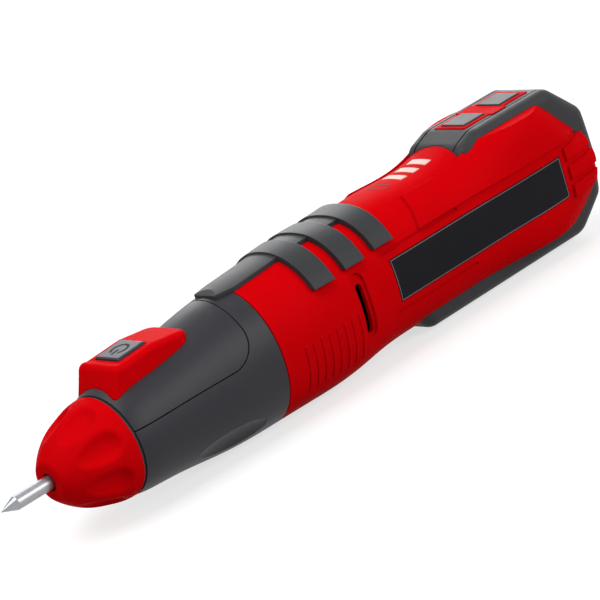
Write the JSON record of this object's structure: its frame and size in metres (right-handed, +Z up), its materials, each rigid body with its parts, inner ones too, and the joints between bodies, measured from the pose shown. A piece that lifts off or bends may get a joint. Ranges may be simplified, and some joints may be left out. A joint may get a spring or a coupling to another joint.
{
  "type": "cordless engraver",
  "caption": "Cordless engraving pen with a vibrating needle, screw-on nose cap, push button, banded grip, charge lights and a rubber tail bumper.",
  "frame": {"origin": "middle of the tool's length and width, on the surface it lies on", "axes": "+X from the needle's point to the tail, +Z up towards the button, -Y the side that the picture shows"},
  "size_m": [0.23, 0.0392, 0.0483],
  "materials": {
    "red_shell": "moulded, semi-gloss",
    "grey_grip": "moulded, satin",
    "black_rubber": "moulded, matte",
    "button_grey": "moulded, satin",
    "label_film": "bare film",
    "needle_steel": "ground",
    "carbide": "ground point",
    "spring_steel": "drawn wire",
    "zinc_screw": "zinc plated",
    "cast_aluminium": "turned",
    "bronze": "sintered",
    "hard_steel": "ground",
    "zinc_can": "drawn, plated",
    "black_nylon": "moulded",
    "ferrite": "sintered",
    "core_steel": "stacked sheets",
    "copper": "drawn",
    "carbon": "pressed",
    "clear_window": "milky moulded",
    "light_chip": "moulded",
    "board": "laminate",
    "cell_wrap": "shrink sleeve",
    "nickel": "plated",
    "white_nylon": "moulded"
  },
  "bodies": {
    "casing": {"battery_cell": "cell_wrap", "battery_tabs": "nickel", "body_shell_left": "red_shell", "body_shell_right": "red_shell", "brush_arms": "copper", "charge_board": "board", "charge_socket": "nickel", "control_board": "board", "front_bush": "bronze", "grip_bands": "black_rubber", "grip_lower_shell": "grey_grip", "grip_top_panel": "grey_grip", "housing_screws": "zinc_screw", "indicator_lights": "light_chip", "indicator_window": "clear_window", "label_plate_left": "label_film", "label_plate_right": "label_film", "mechanism_housing": "cast_aluminium", "motor_brushes": "carbon", "motor_can": "zinc_can", "motor_end_bell": "black_nylon", "motor_front_bush": "bronze", "motor_magnets": "ferrite", "motor_plate": "cast_aluminium", "motor_rear_bush": "bronze", "motor_rings": "black_rubber", "motor_screws": "zinc_screw", "pad_frame": "red_shell", "rear_bumper": "black_rubber", "rear_bush": "bronze", "rear_pad_front": "black_rubber", "rear_pad_rear": "black_rubber", "return_spring": "spring_steel", "shell_screws": "zinc_screw", "switch_bezel": "red_shell", "switch_board": "board", "switch_body": "black_nylon"},
    "button": {"power_button": "button_grey", "switch_plunger": "white_nylon"},
    "striker": {"plunger": "needle_steel", "engraving_needle": "needle_steel", "carbide_point": "carbide", "needle_set_screw": "needle_steel"},
    "rotor": {"motor_shaft": "needle_steel", "rotor_core": "core_steel", "rotor_windings": "copper", "commutator": "copper", "drive_cam": "hard_steel"},
    "cap_ring": {"nose_seal_ring": "black_rubber"},
    "cap": {"nose_cap": "red_shell"}
  },
  "joints": [
    {"name": "button_press", "type": "slide", "parent": "casing", "child": "button", "axis": [0, 0, -1], "range_m": [0, 0.0012], "stiffness_N_per_m": 900, "springref_m": -0.0006},
    {"name": "striker_stroke", "type": "slide", "parent": "casing", "child": "striker", "axis": [-1, 0, 0], "range_m": [0, 0.0011], "stiffness_N_per_m": 1500, "springref_m": -0.002, "deforming": ["return_spring"]},
    {"name": "rotor_spin", "type": "hinge", "parent": "casing", "child": "rotor", "pos_m": [-0.00702, 0, 0.01912], "axis": [1, 0, 0], "continuous": true},
    {"name": "cap_advance", "type": "slide", "parent": "casing", "child": "cap_ring", "axis": [-1, 0, 0], "range_m": [0, 0.00375]},
    {"name": "cap_turn", "type": "hinge", "parent": "cap_ring", "child": "cap", "pos_m": [-0.08503, 0, 0.01912], "axis": [-1, 0, 0], "range_deg": [0, 905]}
  ],
  "couplings": [
    {"joint": "cap_turn", "follows": "cap_advance", "rad_per_m": 4188.8}
  ]
}
